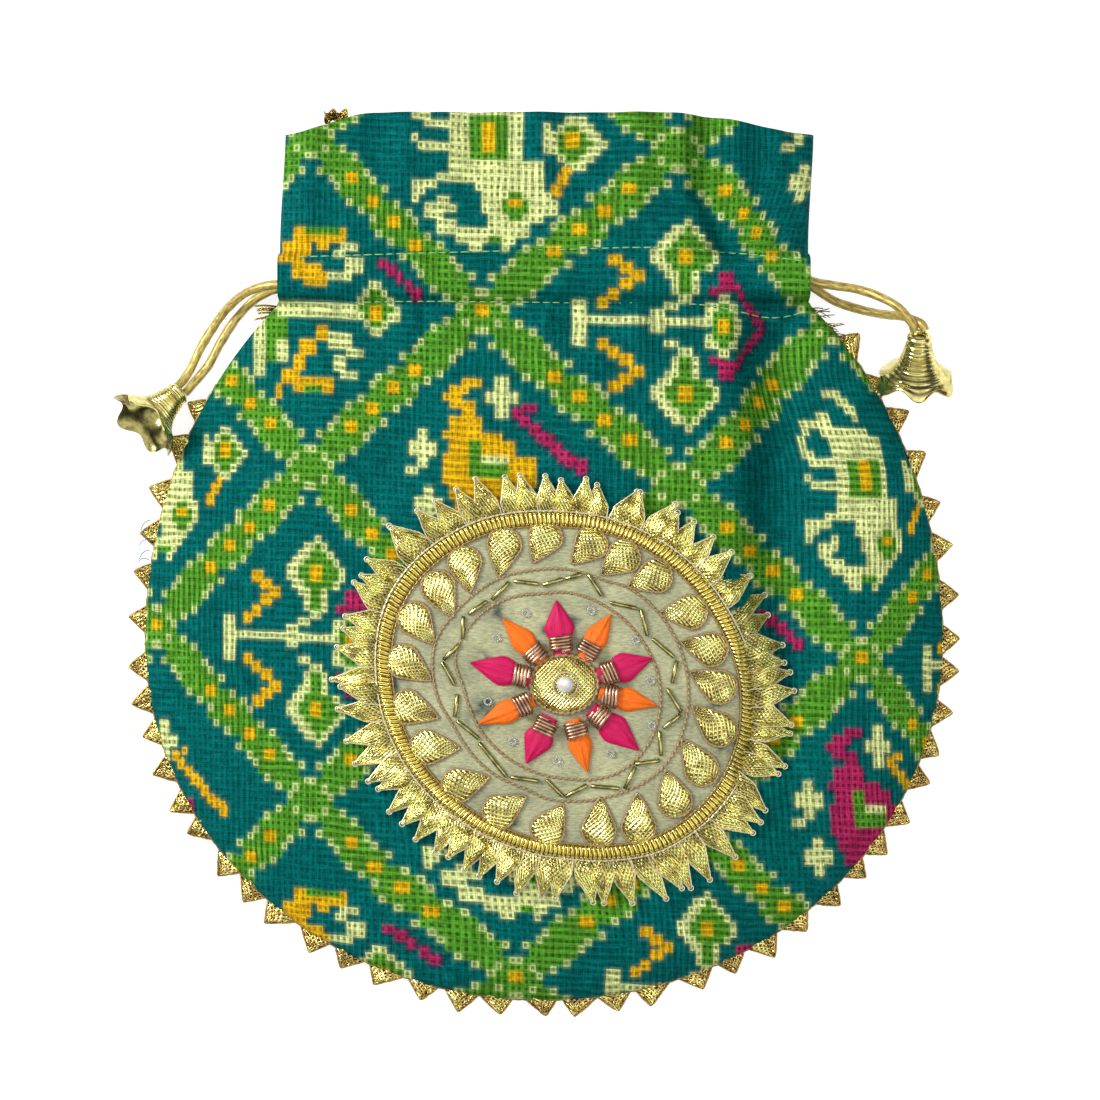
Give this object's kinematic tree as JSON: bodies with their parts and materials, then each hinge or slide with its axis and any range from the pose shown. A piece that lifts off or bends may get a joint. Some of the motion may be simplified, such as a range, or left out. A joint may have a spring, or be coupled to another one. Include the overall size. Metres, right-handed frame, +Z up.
{
  "type": "potli bag",
  "caption": "Round drawstring pouch in ikat cloth with an embroidered gold medallion, ribbon edging and a bell on each cord, lying flat.",
  "frame": {"origin": "middle of the bag's box, cords and bells left out, on the surface that the bag lies on", "axes": "+Z up out of the front face, +Y from the foot of the bag to its mouth, +X to the right in front view"},
  "size_m": [0.2285, 0.245, 0.0288],
  "materials": {
    "ikat_cloth": "woven ikat in teal, green, cream, yellow and magenta",
    "lining_cloth": "plain satin weave",
    "edge_ribbon": "metallic gold ribbon, ribbed",
    "medallion_velvet": "grey olive velvet",
    "fringe_ribbon": "metallic gold ribbon, bright",
    "gold_braid": "metallic gold braid",
    "twisted_thread": "twisted tan and gold thread",
    "petal_ribbon": "metallic gold ribbon, ribbed",
    "pink_cloth": "folded magenta silk",
    "orange_cloth": "folded orange silk",
    "copper_wire": "coiled bullion wire, copper",
    "pearl": "pearl lustre",
    "gold_cord": "braided satin cord",
    "bell_metal": "stamped pale brass, bright"
  },
  "bodies": {
    "root": {"back_panel": "ikat_cloth", "bell_left": "bell_metal", "bell_right": "bell_metal", "braid_ring": "gold_braid", "centre_disc": "gold_braid", "centre_pearl": "pearl", "coil_01": "copper_wire", "coil_02": "copper_wire", "coil_03": "copper_wire", "coil_04": "copper_wire", "coil_05": "copper_wire", "coil_06": "copper_wire", "coil_07": "copper_wire", "coil_08": "copper_wire", "coil_09": "copper_wire", "coil_10": "copper_wire", "drawcord_left": "gold_cord", "drawcord_right": "gold_cord", "edge_trim": "edge_ribbon", "front_panel": "ikat_cloth", "leaf_01": "pink_cloth", "leaf_02": "orange_cloth", "leaf_03": "pink_cloth", "leaf_04": "orange_cloth", "leaf_05": "pink_cloth", "leaf_06": "orange_cloth", "leaf_07": "pink_cloth", "leaf_08": "orange_cloth", "leaf_09": "pink_cloth", "leaf_10": "orange_cloth", "lining": "lining_cloth", "medallion_fringe": "fringe_ribbon", "medallion_ground": "medallion_velvet", "petal_01": "petal_ribbon", "petal_02": "petal_ribbon", "petal_03": "petal_ribbon", "petal_04": "petal_ribbon", "petal_05": "petal_ribbon", "petal_06": "petal_ribbon", "petal_07": "petal_ribbon", "petal_08": "petal_ribbon", "petal_09": "petal_ribbon", "petal_10": "petal_ribbon", "petal_11": "petal_ribbon", "petal_12": "petal_ribbon", "petal_13": "petal_ribbon", "petal_14": "petal_ribbon", "petal_15": "petal_ribbon", "petal_16": "petal_ribbon", "petal_17": "petal_ribbon", "petal_18": "petal_ribbon", "petal_19": "petal_ribbon", "petal_20": "petal_ribbon", "petal_21": "petal_ribbon", "petal_22": "petal_ribbon", "thread_ring_inner": "twisted_thread", "thread_ring_outer": "twisted_thread"}
  },
  "joints": []
}
